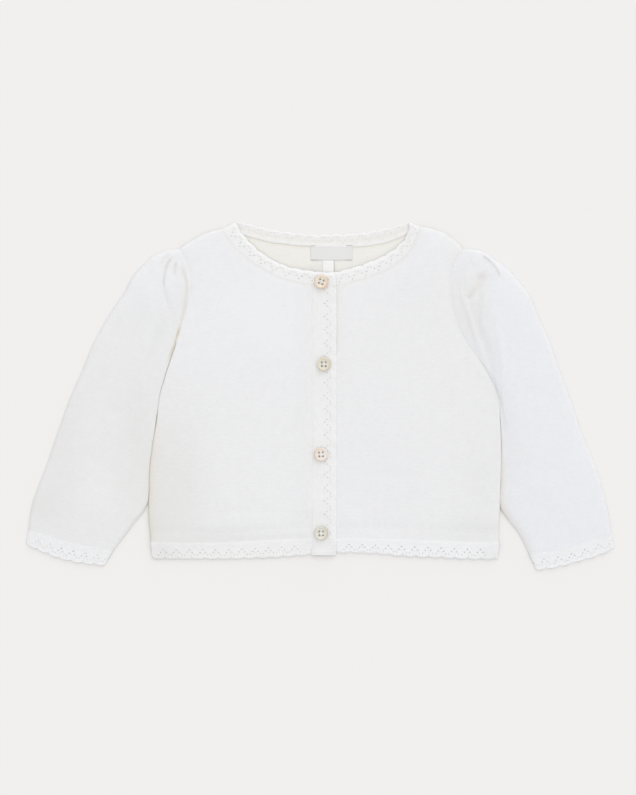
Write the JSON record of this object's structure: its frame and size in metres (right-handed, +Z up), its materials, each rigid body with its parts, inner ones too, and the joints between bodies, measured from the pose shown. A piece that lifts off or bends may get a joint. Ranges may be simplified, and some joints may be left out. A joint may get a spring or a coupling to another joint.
{
  "type": "baby cardigan laid flat and buttoned",
  "caption": "Long-sleeved knitted baby cardigan laid flat, front up and buttoned, with puffed sleeve heads and a scalloped eyelet edging at neck, front, hem and cuffs.",
  "frame": {"origin": "centre of the garment's box on the surface that it lies on", "axes": "+X towards the wearer's left sleeve, +Y from the hem to the neck, +Z up, away from the surface that it lies on"},
  "size_m": [0.4666, 0.2758, 0.0097],
  "materials": {
    "knit": "fine stocking-stitch knit in off-white cotton, matt with a faint fuzz",
    "lace_edging": "pointelle knit with chevron eyelets and a scalloped free edge, matt",
    "shell_button": "natural shell, beige to grey with a soft pearly sheen",
    "label_tape": "woven satin tape, grey-white",
    "tag_tape": "plain woven tape, white"
  },
  "bodies": {
    "root": {"back_panel": "knit", "front_right": "knit", "front_left": "knit", "sleeve_right": "knit", "sleeve_left": "knit", "neck_edging_back": "lace_edging", "neck_edging_right": "lace_edging", "neck_edging_left": "lace_edging", "button_band_over": "lace_edging", "button_band_under": "lace_edging", "hem_edging_back": "lace_edging", "hem_edging_right": "lace_edging", "hem_edging_left": "lace_edging", "cuff_edging_right": "lace_edging", "cuff_edging_left": "lace_edging", "button_1": "shell_button", "button_2": "shell_button", "button_3": "shell_button", "button_4": "shell_button", "neck_label": "label_tape", "size_tag": "tag_tape"}
  },
  "joints": []
}
